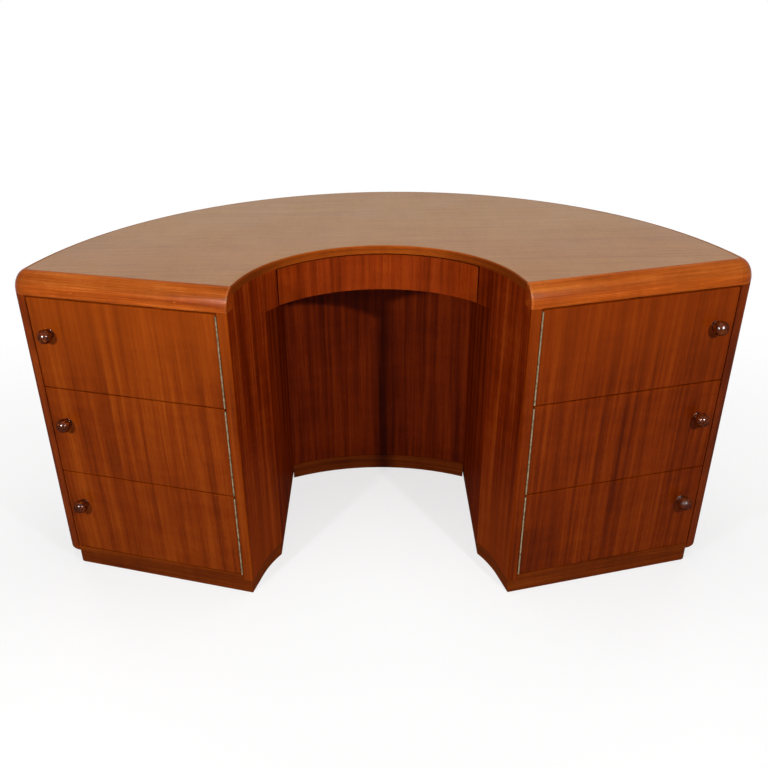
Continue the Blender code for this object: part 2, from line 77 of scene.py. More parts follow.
# Plan of the desk, as its maker set it out from the centre of the arcs
outer_radius = 0.791
knee_radius = 0.289
knee_arc_angle = radians(75.0)
knee_run_out = 0.067
front_angle = radians(15.4)
corner_radius = 0.0395
wall_thickness = 0.018
top_thickness = 0.018
edge_depth = 0.031
edge_drop = 0.045
back_panel_radius = 0.571
back_strip_radius = 0.569
plinth_radius = 0.75
joint_gap = 0.0003
arc_centre = Vector((0.0, cad_high.y - outer_radius))
height = cad_high.z
wall_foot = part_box("outer_wall")[0].z
nosing_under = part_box("nosing_right")[0].z

# Softness of the edges, and the steps that round them
eased_edge = 0.0006
apron_edge = 0.0009
plinth_edge = 0.001
bottom_edge = 0.0011
runner_edge = 0.0012
front_edge = 0.0013
tray_edge = 0.0018
inner_corner = 0.003
lip_radius = 0.005
eased_steps = 2
soft_steps = 3
front_edge_steps = 4
round_steps = 5
lip_steps = 6

# Fineness of the long curves
corner_steps = 8
run_steps = 28
knee_steps = 36
roll_steps = 22
nosing_station_shares = (0.25, 0.5, 0.75)

# How near points are merged, and above what angle folds count, are eased, and stay sharp
weld_distance = 0.00002
flat_angle = radians(0.3)
fold_angle = radians(30.0)
smooth_angle = radians(52.0)

# How far a face may tilt and count as level, as facing the kneehole, as a tray's side or its bent wall
level_tilt = radians(24.0)
kneehole_tilt = radians(12.0)
tray_side_tilt = radians(45.0)
tray_bend_tilt = radians(25.0)

# Knobs: sizes, shares of the foot's bead and of the waist, and fineness
knob_radius = 0.0155
knob_foot_radius = 0.011
knob_foot_height = 0.0024
knob_waist_radius = 0.0066
knob_shoulder_share = 1.8
knob_neck_share = 1.12
knob_narrowest_share = 0.93
knob_waist_fullness = 0.8
knob_sides = 56
knob_bead_steps = 8
knob_waist_steps = 8
knob_ball_steps = 26

# Piano hinges
knuckle_radius = 0.0019
knuckle_count = 9
knuckle_gap = 0.0004
knuckle_sides = 20
knuckle_stations = 24
knuckle_end_share = 0.16
knuckle_end_sharpness = 22.0
leaf_offset = 0.0003
leaf_thickness = 0.0009
leaf_root = 0.0005
leaf_width = 0.0153
leaf_edge = 0.00015

# Grain of the woods: how wide its features are, and how many come to a metre along it
stripe_width = 0.026
streak_width = 0.0095
fibre_width = 0.0017
pore_width = 0.00065
stripes_along = 0.9
streaks_along = 2.4
fibres_along = 11.0
pores_along = 62.0
warp_reach = 0.016

# Softer changes: how many come to a metre along, across and through the grain
warp_rate = (1.6, 5.0, 5.0)
cloud_rate = (7.0, 4.0, 4.0)
figure_rate = (38.0, 11.0, 11.0)
nick_rate = (95.0, 240.0, 240.0)
rub_rate = (28.0, 28.0, 28.0)
haze_rate = (9.0, 9.0, 9.0)
knob_streak_rate = (60.0, 420.0, 420.0)
knob_cloud_rate = (70.0, 70.0, 70.0)
tarnish_rate = (260.0, 260.0, 120.0)
brushed_rate = (1800.0, 1800.0, 160.0)
floor_cloud_rate = (1.5, 1.5, 1.5)

# How strongly each feature shows in the colour
stripe_tone = 1.15
streak_tone = 0.85
fibre_tone = 0.6
cloud_tone = 0.45
figure_tone = 0.28
pore_show = 0.46
nick_show = 0.35
# The last is how strong the painted shade on the lip's sides is
lip_painted_shade_show = 0.85

# Relief of the surfaces
grain_relief = 0.00003
knob_relief = 0.00004
brass_relief = 0.00002

# How far the grain of the fronts and knobs leans
front_lean = 0.02
knob_lean = 0.3

# Shifts that set pieces apart in the pattern, and how much of the rolled wall's depth it follows
side_shift = 2.0
lip_shift = 4.0
roll_depth_share = 0.2

# Index of the thin hard polish on the dark woods, high so that it shines nearly alike from every side
polish_index = 3.0

# Painted light, paler stretches: the upper fronts, where the lamps fall most, and the knee walls low down,
# where the floor's light bounces. The heights where one starts and is full, and how far it goes
front_painted_light = (0.42, 0.68, 0.38)
knee_painted_light = (0.40, 0.02, 0.55)

# Painted sheen on the top, which pales it towards the back between two places, and painted light
# on the nosings, which pales them between two depths
top_sheen_start = -0.20
top_sheen_end = 0.12
top_sheen_tint = (1.06, 1.17, 1.24)
nosing_painted_light_start = 0.014
nosing_painted_light_end = 0.034
nosing_painted_light_tint = (1.36, 1.24, 1.10)

# Rolled edge of the outer wall: how far up it the top's colour starts, and how much of it shows
roll_fade_start = 0.45
roll_fade_share = 0.6

# Painted shade on the lip over the kneehole, which darkens it towards its sides
lip_painted_shade_start = radians(28.0)
lip_painted_shade_reach = radians(36.0)

white = (1.0, 1.0, 1.0, 1.0)


# Node trees written as expressions

class Wire:
    """A value in a node tree; arithmetic on it adds Math nodes."""

    def __init__(self, tree, socket):
        self.tree = tree
        self.socket = socket

    def math(self, operation, *values):
        return self.tree.node("ShaderNodeMath", {"operation": operation}, dict(enumerate(values)), "Value")

    def __add__(self, other):
        return self.math("ADD", self, other)

    __radd__ = __add__

    def __mul__(self, other):
        return self.math("MULTIPLY", self, other)

    __rmul__ = __mul__

    def __sub__(self, other):
        return self.math("SUBTRACT", self, other)

    def __rsub__(self, other):
        return self.math("SUBTRACT", other, self)

    def __pow__(self, other):
        return self.math("POWER", self, other)

    def __abs__(self):
        return self.math("ABSOLUTE", self)

    def greater(self, other):
        return self.math("MAXIMUM", self, other)

    def between(self, start, full):
        """0 before start, 1 past full, and a smooth change between them, whichever is the larger."""
        inputs = {"Value": self, "From Min": start, "From Max": full, "To Min": 0.0, "To Max": 1.0}
        return self.tree.node("ShaderNodeMapRange", {"interpolation_type": "SMOOTHSTEP"}, inputs, "Result")


class Tree:
    """A tree of nodes, which all come from one method."""

    def __init__(self, tree):
        self.tree = tree

    def connect(self, socket, value):
        """Set a socket to a value, or link it to a wire or to several."""
        if isinstance(value, Wire):
            self.tree.links.new(value.socket, socket)
        elif isinstance(value, list):
            for wire in value:
                self.connect(socket, wire)
        else:
            socket.default_value = value

    def node(self, kind, settings, inputs, output):
        """A node with its settings first, then the values or links of its sockets."""
        made = self.tree.nodes.new(kind)
        for name, value in settings.items():
            if name == "stops":
                while len(made.color_ramp.elements) < len(value):
                    made.color_ramp.elements.new(1.0)
                for element, (place, colour) in zip(made.color_ramp.elements, value):
                    element.position = place
                    element.color = (*colour, 1.0)
            else:
                setattr(made, name, value)
        for name, value in inputs.items():
            socket = made.inputs[name] if isinstance(name, int) else named(made.inputs, name)
            self.connect(socket, value)
        return Wire(self, named(made.outputs, output))

    def mix(self, share, first, second, blend="MIX"):
        """Colours mixed by a share."""
        settings = {"data_type": "RGBA", "blend_type": blend}
        first, second = [c if isinstance(c, Wire) else (*c, 1.0) for c in (first, second)]
        return self.node("ShaderNodeMix", settings, {"Factor": share, "A": first, "B": second}, "Result")

    def ramp(self, value, stops):
        """Colour that a value picks from stops, each a place from 0 to 1 and its colour."""
        return self.node("ShaderNodeValToRGB", {"stops": stops}, {"Fac": value}, "Color")

    def attribute(self, name, output):
        return self.node("ShaderNodeAttribute", {"attribute_name": name}, {}, output)

    def noise(self, place, rate, detail=2.0, shift=0.0):
        """Noise about zero, with a number of features to a metre each way."""
        inputs = {0: place, 1: rate, 2: (shift, shift, shift)}
        moved = self.node("ShaderNodeVectorMath", {"operation": "MULTIPLY_ADD"}, inputs, "Vector")
        inputs = {"Vector": moved, "Scale": 1.0, "Detail": detail}
        return self.node("ShaderNodeTexNoise", {}, inputs, "Fac") - 0.5

    def seen(self):
        """1 for what is seen by the camera, in reflections or through clear things, and 0 otherwise."""
        kinds = ("Camera", "Glossy", "Transmission")
        rays = [self.node("ShaderNodeLightPath", {}, {}, f"Is {kind} Ray") for kind in kinds]
        return rays[0].greater(rays[1]).greater(rays[2])


class Finish(Tree):
    """A material, set through the sockets of its surface."""

    def __init__(self, name):
        self.material = bpy.data.materials.new(name)
        self.material.use_nodes = True
        super().__init__(self.material.node_tree)
        self.surface = self.tree.nodes["Principled BSDF"]

    def set(self, **values):
        """Values or links of the surface's own sockets; an underscore stands for a space."""
        for name, value in values.items():
            self.connect(self.surface.inputs[name.replace("_", " ")], value)

    def bump(self, relief, depth):
        inputs = {"Height": relief, "Distance": depth, "Strength": 1.0}
        self.set(Normal=self.node("ShaderNodeBump", {}, inputs, "Normal"))


def named(sockets, name):
    """The enabled socket with a name."""
    return next(socket for socket in sockets if socket.name == name and socket.enabled)


def shade(red, green, blue):
    """Linear colour from the 0 to 255 values that a picture shows, by the usual curve of screens."""
    values = [part / 255 for part in (red, green, blue)]
    return tuple(v / 12.92 if v <= 0.04045 else ((v + 0.055) / 1.055) ** 2.4 for v in values)


def times(colour, share):
    return tuple(part * share for part in colour)


# Finishes

class Wood(Finish):
    """Polished wood whose pattern follows the piece's own grain coordinates.

    Stripes, streaks, fibres, pores and wear make each of these stronger or weaker than usual. Painted
    light gives where along the grain the wood is painted paler as if lit, where it is palest, and how far
    it goes.
    """

    def __init__(self, name, shades, gloss, level=0.0, polish=0.0, stripes=1.0, streaks=1.0, fibres=1.0,
                 pores=1.0, wear=1.0, painted_light=None, shift=0.0):
        super().__init__(name)
        dark, middle, light = shades
        lay = self.attribute("grain", "Vector")
        parts = [self.node("ShaderNodeSeparateXYZ", {}, {"Vector": lay}, axis) for axis in "XYZ"]
        along, self.across_grain, through = parts
        warp = self.noise(lay, warp_rate, 2.0, shift)
        inputs = {"X": along, "Y": self.across_grain + warp * warp_reach, "Z": through}
        self.warped = self.node("ShaderNodeCombineXYZ", {}, inputs, "Vector")

        # Each layer has its own shift, so that no two of them look alike
        stripe = self.grained(stripe_width, stripes_along, 3.0, shift)
        streak = self.grained(streak_width, streaks_along, 2.0, shift + 3.1)
        fibre = self.grained(fibre_width, fibres_along, 2.0, shift + 5.7)
        pore = self.grained(pore_width, pores_along, 1.0, shift + 9.1).between(0.09, 0.2) * pores
        cloud = self.noise(lay, cloud_rate, 2.0, shift + 1.3)
        figure = self.noise(lay, figure_rate, 2.0, shift + 7.9)
        nick = self.noise(lay, nick_rate, 1.0, shift + 2.2).between(0.235, 0.27)
        haze = self.noise(lay, haze_rate, 3.0, shift + 6.6)

        tone = stripe * (stripe_tone * stripes) + streak * (streak_tone * streaks)
        tone = tone + fibre * (fibre_tone * fibres) + cloud * cloud_tone + figure * figure_tone + 0.5
        body = self.ramp(tone, [(0.08, dark), (0.50, middle), (0.92, light)])
        body = self.mix(pore * pore_show, body, times(dark, 0.45))
        body = self.mix(nick * nick_show, body, times(light, 1.35))
        # Painted light: the wood is made paler along the grain where more light falls on it
        if painted_light:
            start, full, share = painted_light
            body = self.mix(along.between(start, full) * share, body, light)
        worn = self.attribute("edge", "Fac")
        rub = worn * wear * (0.20 + 1.1 * self.noise(lay, rub_rate, 2.0, shift + 4.4))
        body = self.mix(rub, body, times(light, 1.2))
        # Painted shade: darker where the lip's attribute marks its sides
        self.body = self.mix(self.attribute("deep", "Fac") * lip_painted_shade_show, body, times(dark, 0.95))

        roughness = gloss + haze * 0.12 + pore * 0.10 + fibre * 0.03
        self.set(Base_Color=self.body, Roughness=roughness, Specular_IOR_Level=level)
        self.set(Coat_Weight=polish * (1.0 - worn), Coat_IOR=polish_index, Coat_Roughness=gloss)
        self.bump(fibre * 0.35 + streak * 0.5 - pore, grain_relief)

    def grained(self, width, along, detail, shift):
        """Noise stretched along the grain."""
        return self.noise(self.warped, (along, 1 / width, 1 / width), detail, shift)


# Dark, middle and light shade of each finish
left_shades = (shade(108, 37, 4), shade(151, 59, 8), shade(182, 82, 17))
# Right-hand fronts: a darker copy of the left-hand veneer, painted shade for the weaker light on that side
right_shaded_shades = (shade(97, 30, 2), shade(137, 49, 5), shade(165, 68, 11))
outer_shades = (shade(112, 38, 4), shade(152, 59, 8), shade(182, 81, 17))
wall_shades = (shade(96, 26, 2), shade(132, 42, 6), shade(159, 58, 11))
# Knee walls: a lighter copy of the wall veneer, painted light for the stronger light that falls on them
knee_lit_shades = (shade(102, 29, 3), shade(140, 46, 8), shade(176, 74, 20))
apron_shades = (shade(111, 36, 4), shade(152, 54, 11), shade(182, 74, 18))
lip_shades = (shade(123, 51, 11), shade(167, 76, 19), shade(200, 100, 27))
nosing_shades = (shade(136, 56, 12), shade(174, 84, 25), shade(203, 113, 43))
top_shades = (shade(134, 83, 37), shade(152, 100, 46), shade(165, 112, 56))
base_shades = (shade(99, 34, 3), shade(135, 55, 8), shade(163, 74, 16))
tray_shades = (shade(150, 104, 64), shade(176, 130, 86), shade(196, 152, 106))
knob_shades = (shade(50, 15, 3), shade(98, 37, 7), shade(152, 70, 17))
brass_shades = ((0.10, 0.075, 0.036), (0.34, 0.27, 0.155), (0.50, 0.41, 0.26))


def top_finish():
    """Top veneer, with a painted sheen that makes it a little paler towards the back."""
    finish = Wood("veneer_top_polished", top_shades, 0.40, level=0.40, stripes=0.45, streaks=0.9,
                  fibres=2.4, shift=33.0)
    # Painted sheen: paler and cooler towards the back, where more light is reflected
    pale = finish.across_grain.between(top_sheen_start, top_sheen_end)
    finish.set(Base_Color=finish.mix(pale, finish.body, top_sheen_tint, "MULTIPLY"))
    return finish


def rolled_wall():
    """Outer veneer that turns to the colour of the top where it rolls over."""
    finish = Wood("veneer_outer_polished", outer_shades, 0.34, polish=0.03, streaks=1.2, shift=81.0)
    rise = finish.attribute("rise", "Fac").between(roll_fade_start, 1.0)
    finish.set(Base_Color=finish.mix(rise * roll_fade_share, finish.body, top_shades[1]))
    return finish


def nosing_finish():
    """Nosing wood with painted light paling its upright part, and harder polish on its rounded inner ends.
    """
    finish = Wood("nosing_wood_polished", nosing_shades, 0.19, level=0.02, stripes=0.4, streaks=1.3,
                  fibres=1.5, shift=45.0)
    # Painted light: the upright face is made paler, as the lamps light it more
    upright = finish.across_grain.between(height - nosing_painted_light_start, height - nosing_painted_light_end)
    finish.set(Base_Color=finish.mix(upright, finish.body, nosing_painted_light_tint, "MULTIPLY"))
    finish.set(Coat_Weight=0.002 + finish.attribute("edge", "Fac") * 0.022, Coat_Roughness=0.08)
    return finish


def knob_finish():
    """Dark polished turned wood."""
    finish = Finish("knob_wood_polished")
    lay = finish.attribute("grain", "Vector")
    streak = finish.noise(lay, knob_streak_rate, 3.0, 4.0)
    cloud = finish.noise(lay, knob_cloud_rate, 2.0, 8.0)
    tone = 0.5 + streak * 1.3 + cloud * 0.8
    finish.set(Base_Color=finish.ramp(tone, list(zip((0.1, 0.5, 0.95), knob_shades))))
    finish.set(Roughness=0.30 + cloud * 0.10, Specular_IOR_Level=0.0)
    finish.set(Coat_Weight=0.03, Coat_IOR=polish_index, Coat_Roughness=0.17)
    finish.bump(streak + cloud, knob_relief)
    return finish


def brass_finish():
    """Dull brass with patches of tarnish."""
    finish = Finish("hinge_brass_dull")
    lay = finish.node("ShaderNodeTexCoord", {}, {}, "Object")
    tarnish = finish.noise(lay, tarnish_rate, 3.0, 2.0)
    brushed = finish.noise(lay, brushed_rate, 2.0, 6.0)
    finish.set(Base_Color=finish.ramp(0.5 + tarnish * 1.5, list(zip((0.2, 0.55, 0.9), brass_shades))))
    finish.set(Metallic=1.0, Roughness=0.40 + tarnish * 0.3 + brushed * 0.1)
    finish.bump(brushed + tarnish, brass_relief)
    return finish


veneer_left = Wood("veneer_left_polished", left_shades, 0.30, polish=0.018, wear=0.2, painted_light=front_painted_light)
veneer_right_shaded = Wood("veneer_right_shaded_polished", right_shaded_shades, 0.30, polish=0.018, streaks=1.3, wear=0.2,
                    painted_light=front_painted_light)
veneer_wall = Wood("veneer_wall_polished", wall_shades, 0.34, polish=0.012, stripes=1.3, streaks=1.6,
                   shift=21.0)
# Lit copy of the wall veneer for the kneehole faces, also painted paler low down
veneer_knee_lit = Wood("veneer_knee_lit_polished", knee_lit_shades, 0.34, polish=0.012, stripes=1.3, streaks=1.6,
                   painted_light=knee_painted_light, shift=21.0)
veneer_apron = Wood("veneer_apron_polished", apron_shades, 0.30, polish=0.012, stripes=0.8, shift=27.0)
veneer_top = top_finish()
veneer_outer = rolled_wall()
lip_wood = Wood("lip_wood_polished", lip_shades, 0.25, level=0.02, stripes=0.3, streaks=1.4, shift=51.0)
base_wood = Wood("base_wood_polished", base_shades, 0.36, polish=0.02, stripes=0.5, streaks=1.1,
                 shift=57.0)
tray_wood = Wood("tray_wood_bare", tray_shades, 0.58, level=0.30, stripes=0.6, streaks=0.8, pores=0.6,
                 shift=69.0)
nosing_wood = nosing_finish()
knob_wood = knob_finish()
hinge_brass = brass_finish()


# Plan geometry for the right-hand side, measured from the centre of the arcs

def arc_point(radius, angle):
    return Vector((radius * sin(angle), radius * cos(angle)))


run_out_way = Vector((cos(knee_arc_angle), -sin(knee_arc_angle)))
front_way = Vector((cos(front_angle), sin(front_angle)))
inward = Vector((-sin(front_angle), cos(front_angle)))
knee_corner = arc_point(knee_radius, knee_arc_angle) + run_out_way * knee_run_out


def on_front(distance, depth):
    """Point at a distance along the pedestal front and a depth behind its face."""
    return knee_corner + front_way * distance + inward * depth


def front_reach(depth, radius):
    """Distance along the front at which a line at a depth behind it meets a concentric circle."""
    base = on_front(0.0, depth)
    along = base.dot(front_way)
    return -along + sqrt(along ** 2 - base.dot(base) + radius ** 2)


front_length = front_reach(corner_radius, outer_radius - corner_radius)
fillet_centre = on_front(front_length, corner_radius)
fillet_start = atan2(-inward.y, -inward.x)
fillet_end = atan2(fillet_centre.y, fillet_centre.x)
fillet_turn = pi / 2 - (fillet_end - fillet_start)


def around(centre, radius, start, end, steps):
    """Plan points of an arc, with angles counted from +X."""
    turns = [start + (end - start) * step / steps for step in range(steps + 1)]
    return [centre + Vector((radius * cos(turn), radius * sin(turn))) for turn in turns]


def mirrored(points):
    return [Vector((-point.x, point.y)) for point in reversed(points)]


def outer_run(offset):
    """Outer wall line, moved inward, from the right front round to the left front."""
    half = around(fillet_centre, corner_radius - offset, fillet_start, fillet_end, corner_steps)
    half += around(Vector((0.0, 0.0)), outer_radius - offset, fillet_end, pi / 2, run_steps)[1:]
    return half + mirrored(half)[1:]


def knee_run(offset, depth):
    """Kneehole line, moved into the pedestals, from the right front round to the left front."""
    start = arc_point(knee_radius + offset, knee_arc_angle)
    slant = run_out_way.cross(front_way)
    half = [start + run_out_way * ((on_front(0.0, depth) - start).cross(front_way) / slant)]
    for step in range(knee_steps + 1):
        half.append(arc_point(knee_radius + offset, knee_arc_angle * (1 - step / knee_steps)))
    return half + mirrored(half)[1:]


def quarter_round(radius, steps):
    """Quarter of a circle that eases a corner, as (run, inset) pairs."""
    turns = [pi / 2 * step / steps for step in range(steps + 1)]
    return [(radius * (1 - cos(turn)), radius * (1 - sin(turn))) for turn in turns]


def placed(point, z):
    """Plan point measured from the centre of the arcs, put in the desk's own frame."""
    return Vector((point.x + arc_centre.x, point.y + arc_centre.y, z))


def on_side(point, side, z=0.0):
    """Plan point of the right-hand side, or its mirror image on the left, in the desk's own frame."""
    return placed(Vector((side * point.x, point.y)), z)


def side_name(base, side):
    return base + ("_right" if side > 0 else "_left")


# How the grain lies on a piece: functions of points and face normals, in metres along and across it

def side_axes(side):
    """Ways along the front and inward on one side of the desk."""
    return np.array((side * front_way.x, front_way.y)), np.array((side * inward.x, inward.y))


def upright_flat(side, lean=0.0):
    """Grain that runs up a piece set square to a pedestal front."""
    along, through = side_axes(side)

    def lay(points, normals):
        run = points[:, :2] @ along
        depth = points[:, :2] @ through
        return np.stack((points[:, 2], run - lean * points[:, 2], depth + side_shift * side), 1)
    return lay


def lengthwise_flat(side):
    """Grain that runs along a pedestal front."""
    along, through = side_axes(side)

    def lay(points, normals):
        depth = points[:, :2] @ through
        return np.stack((points[:, :2] @ along, points[:, 2], depth + side_shift * side), 1)
    return lay


def outward_flat(side):
    """Grain that comes straight out of a pedestal front, as on a turned knob."""
    along, through = side_axes(side)

    def lay(points, normals):
        run = points[:, :2] @ along
        return np.stack((points[:, :2] @ through, run + knob_lean * points[:, 2], points[:, 2]), 1)
    return lay


def polar(points):
    """Distance from the centre of the arcs and angle round it."""
    plan = points[:, :2] - np.array(arc_centre)
    return np.hypot(plan[:, 0], plan[:, 1]), np.arctan2(plan[:, 0], plan[:, 1])


def upright_round(radius):
    """Grain that runs up a piece bent round the centre of the arcs."""
    def lay(points, normals):
        reach, angle = polar(points)
        return np.stack((points[:, 2], radius * angle, reach), 1)
    return lay


def lengthwise_round(radius):
    """Grain that follows a bend."""
    def lay(points, normals):
        reach, angle = polar(points)
        return np.stack((radius * angle, points[:, 2], reach), 1)
    return lay


def wall_lay(points, normals):
    """Grain that runs up the outer wall and over its rolled edge."""
    reach, angle = polar(points)
    over = np.clip(outer_radius - reach, 0.0, edge_depth)
    return np.stack((points[:, 2] + over, outer_radius * angle, reach * roll_depth_share), 1)


def top_lay(points, normals):
    """Grain from side to side on the flat of the top, and round the bend on its lip."""
    reach, angle = polar(points)
    bent = np.stack((knee_radius * angle, points[:, 2], reach + lip_shift), 1)
    return np.where(np.abs(normals[:, 2:3]) > cos(level_tilt), points, bent)


def tray_lay(along, through, pivot=None):
    """Grain along each wall of a tray, and round the bent wall of one that turns on a pivot."""
    def lay(points, normals):
        run = points[:, :2] @ along
        depth = points[:, :2] @ through
        side_wall = np.abs(normals[:, :2] @ along) > cos(tray_side_tilt)
        sideways = np.stack((run, points[:, 2], depth), 1)
        inwards = np.stack((depth, points[:, 2], run), 1)
        grain = np.where(side_wall[:, None], inwards, sideways)
        if pivot is not None:
            arm = points[:, :2] - np.array(pivot)[:2]
            reach = np.hypot(arm[:, 0], arm[:, 1])
            bent = np.stack((reach * np.arctan2(arm @ along, arm @ through), points[:, 2], reach), 1)
            bent_wall = np.abs((arm * normals[:, :2]).sum(1)) > reach * cos(tray_bend_tilt)
            grain = np.where(bent_wall[:, None], bent, grain)
        return grain
    return lay


def across_desk(points, normals):
    """Grain that runs from side to side."""
    return points.copy()


def front_to_back(points, normals):
    """Grain that runs from front to back."""
    return np.stack((points[:, 1], points[:, 0], points[:, 2]), 1)


def upright_deep(points, normals):
    """Grain that runs up a board set front to back."""
    return np.stack((points[:, 2], points[:, 1], points[:, 0]), 1)


# Meshes

def skin(shape, rings):
    """Faces between closed rings, each with as many points."""
    count = len(rings[0])
    for near, far in zip(rings, rings[1:]):
        for index in range(count):
            following = (index + 1) % count
            shape.faces.new((near[index], near[following], far[following], far[index]))


def loft(sections):
    """Closed mesh through equal closed sections, with both ends capped, and the two end faces."""
    shape = bmesh.new()
    rings = [[shape.verts.new(point) for point in section] for section in sections]
    skin(shape, rings)
    ends = [shape.faces.new(rings[0]), shape.faces.new(rings[-1])]
    bmesh.ops.recalc_face_normals(shape, faces=shape.faces)
    return shape, ends


def block(low, high, shape=None):
    """Square block between two corners, in a shape of its own or added to one."""
    if shape is None:
        shape = bmesh.new()
    for vertex in bmesh.ops.create_cube(shape, size=1.0)["verts"]:
        vertex.co = Vector([low[axis] if vertex.co[axis] < 0 else high[axis] for axis in range(3)])
    return shape


def merged_copy(node):
    """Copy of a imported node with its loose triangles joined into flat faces."""
    shape = bmesh.new()
    shape.from_mesh(frame["nodes"][node].data)
    bmesh.ops.remove_doubles(shape, verts=shape.verts, dist=weld_distance)
    bmesh.ops.dissolve_limit(shape, angle_limit=flat_angle, verts=shape.verts, edges=shape.edges)
    return shape


def wear_layer(shape):
    """Layer that holds 1 on the faces of edges that wear."""
    layers = shape.faces.layers.float
    return layers.get("edge") or layers.new("edge")


def ease(shape, radius, steps, wanted=None):
    """Round a shape's folds and mark the rounded faces as edges that wear."""
    edges = [e for e in shape.edges if len(e.link_faces) == 2 and e.calc_face_angle() > fold_angle]
    if wanted:
        edges = [e for e in edges if wanted(e)]
    worn = wear_layer(shape)
    made = bmesh.ops.bevel(shape, geom=edges, offset=radius, offset_type="OFFSET", segments=steps,
                           profile=0.5, affect="EDGES", clamp_overlap=True)
    for face in made["faces"]:
        face[worn] = 1.0
    return shape


def extents(node, side):
    """Lowest and highest reach of a node along the front, inward and up."""
    along, through = side_axes(side)
    points = np.array([vertex.co for vertex in frame["nodes"][node].data.vertices])
    local = np.stack((points[:, :2] @ along, points[:, :2] @ through, points[:, 2]), 1)
    return local.min(0), local.max(0)


def set_to_front(shape, side, place=(0.0, 0.0, 0.0)):
    """Turn a shape made along the front, inward and up into the desk's frame, with its faces outwards."""
    along, through = side_axes(side)
    turn = Matrix(((along[0], through[0], 0.0), (along[1], through[1], 0.0), (0.0, 0.0, 1.0))).to_4x4()
    bmesh.ops.transform(shape, matrix=Matrix.Translation(place) @ turn, verts=shape.verts)
    bmesh.ops.recalc_face_normals(shape, faces=shape.faces)


def meshed(shape, name):
    """Mesh of a shape, which is used up."""
    mesh = bpy.data.meshes.new(name)
    shape.to_mesh(mesh)
    shape.free()
    return mesh


def read(items, key, width, kind):
    """What a mesh holds of its points, corners or faces, as an array with a row for each."""
    values = np.zeros(len(items) * width, kind)
    items.foreach_get(key, values)
    return values.reshape(-1, width) if width > 1 else values


pieces = []


def add(name, shape, finishes, lay, node, slot):
    """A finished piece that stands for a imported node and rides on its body."""
    wear_layer(shape)
    mesh = meshed(shape, name)
    for finish in finishes:
        mesh.materials.append(finish.material)
    mesh.polygons.foreach_set("use_smooth", [True] * len(mesh.polygons))
    mesh.set_sharp_from_angle(angle=smooth_angle)
    corners = read(mesh.loops, "vertex_index", 1, np.int32)
    points = read(mesh.vertices, "co", 3, np.float32)[corners].astype(float)
    corner_counts = read(mesh.polygons, "loop_total", 1, np.int32)
    normals = np.repeat(read(mesh.polygons, "normal", 3, np.float32), corner_counts, axis=0)
    grain = mesh.attributes.new("grain", "FLOAT_VECTOR", "CORNER")
    grain.data.foreach_set("vector", lay(points, normals).ravel())
    piece = bpy.data.objects.new(name, mesh)
    bpy.context.scene.collection.objects.link(piece)
    weighting = piece.modifiers.new("flat_faces", "WEIGHTED_NORMAL")
    weighting.keep_sharp = True
    pieces.append((piece, node, slot))
    return piece


def settle():
    """Apply what is left on the pieces, and put each on its body in place of its node."""
    graph = bpy.context.evaluated_depsgraph_get()
    for piece, node, slot in pieces:
        mesh = bpy.data.meshes.new_from_object(piece.evaluated_get(graph), preserve_all_data_layers=True,
                                               depsgraph=graph)
        piece.modifiers.clear()
        piece.data = mesh
        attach(piece, frame["nodes"][node]["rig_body"])
        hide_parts(node)


def board(node, finish, lay, slot, radius=eased_edge, steps=eased_steps, wanted=None):
    """A packed board with eased edges."""
    shape = ease(merged_copy(node), radius, steps, wanted)
    return add(node + "_board", shape, [finish], lay, node, slot)


def within(value):
    """A value kept from 0 to 1."""
    return min(1.0, max(0.0, value))


# Outer wall, rolled over into the top

def roll(depth, drop):
    """Rounded edge from the wall face up to the top, as (offset, height) pairs."""
    turns = [pi / 2 * step / roll_steps for step in range(roll_steps + 1)]
    return [(edge_depth - depth * cos(turn), height - edge_drop + drop * sin(turn)) for turn in turns]


def corner_grain(piece, side):
    """Nosing wood on a front corner of the outer wall, with its grain running on from the nosing."""
    along, through = side_axes(side)
    centre = np.array(on_side(fillet_centre, side))[:2]
    face_line = np.array(on_side(knee_corner, side))[:2] @ through
    grain = piece.data.attributes["grain"].data
    for face in piece.data.polygons:
        spoke = np.array(face.center)[:2] - centre
        turn = atan2(spoke @ -through, spoke @ along)
        beyond = (pi / 2 - turn) / (pi / 2 - fillet_turn)
        if face.center.z < nosing_under or face.center.x * side < 0 or not 0.0 < beyond < 1.0:
            continue
        face.material_index = 1
        for corner in face.loop_indices:
            point = np.array(piece.data.vertices[piece.data.loops[corner].vertex_index].co)
            spoke = point[:2] - centre
            run = corner_radius * (pi / 2 - atan2(spoke @ -through, spoke @ along))
            depth = corner_radius - np.hypot(*spoke)
            grain[corner].vector = (centre @ along + run, point[2], face_line + depth + side_shift * side)


def outer_wall():
    """Bent wall from one front corner round the back to the other, with its rolled edge."""
    outside = [(0.0, wall_foot + eased_edge), (0.0, (wall_foot + height) / 2), (0.0, nosing_under)]
    outside += roll(edge_depth, edge_drop)
    inside = [(wall_thickness, wall_foot)] + roll(edge_depth - wall_thickness, edge_drop - top_thickness)
    profile = [(eased_edge, wall_foot)] + outside + inside[::-1]
    runs = [[placed(point, z) for point in outer_run(offset)] for offset, z in profile]
    shape, _ = loft([list(section) for section in zip(*runs)])
    finishes = [veneer_outer, nosing_wood]
    piece = add("outer_wall_bent", shape, finishes, wall_lay, "outer_wall", "veneer_wall")
    for side in (1, -1):
        corner_grain(piece, side)
    spring = height - edge_drop
    rise = [within((vertex.co.z - spring) / edge_drop) for vertex in piece.data.vertices]
    piece.data.attributes.new("rise", "FLOAT", "POINT").data.foreach_set("value", rise)


# Top and nosings

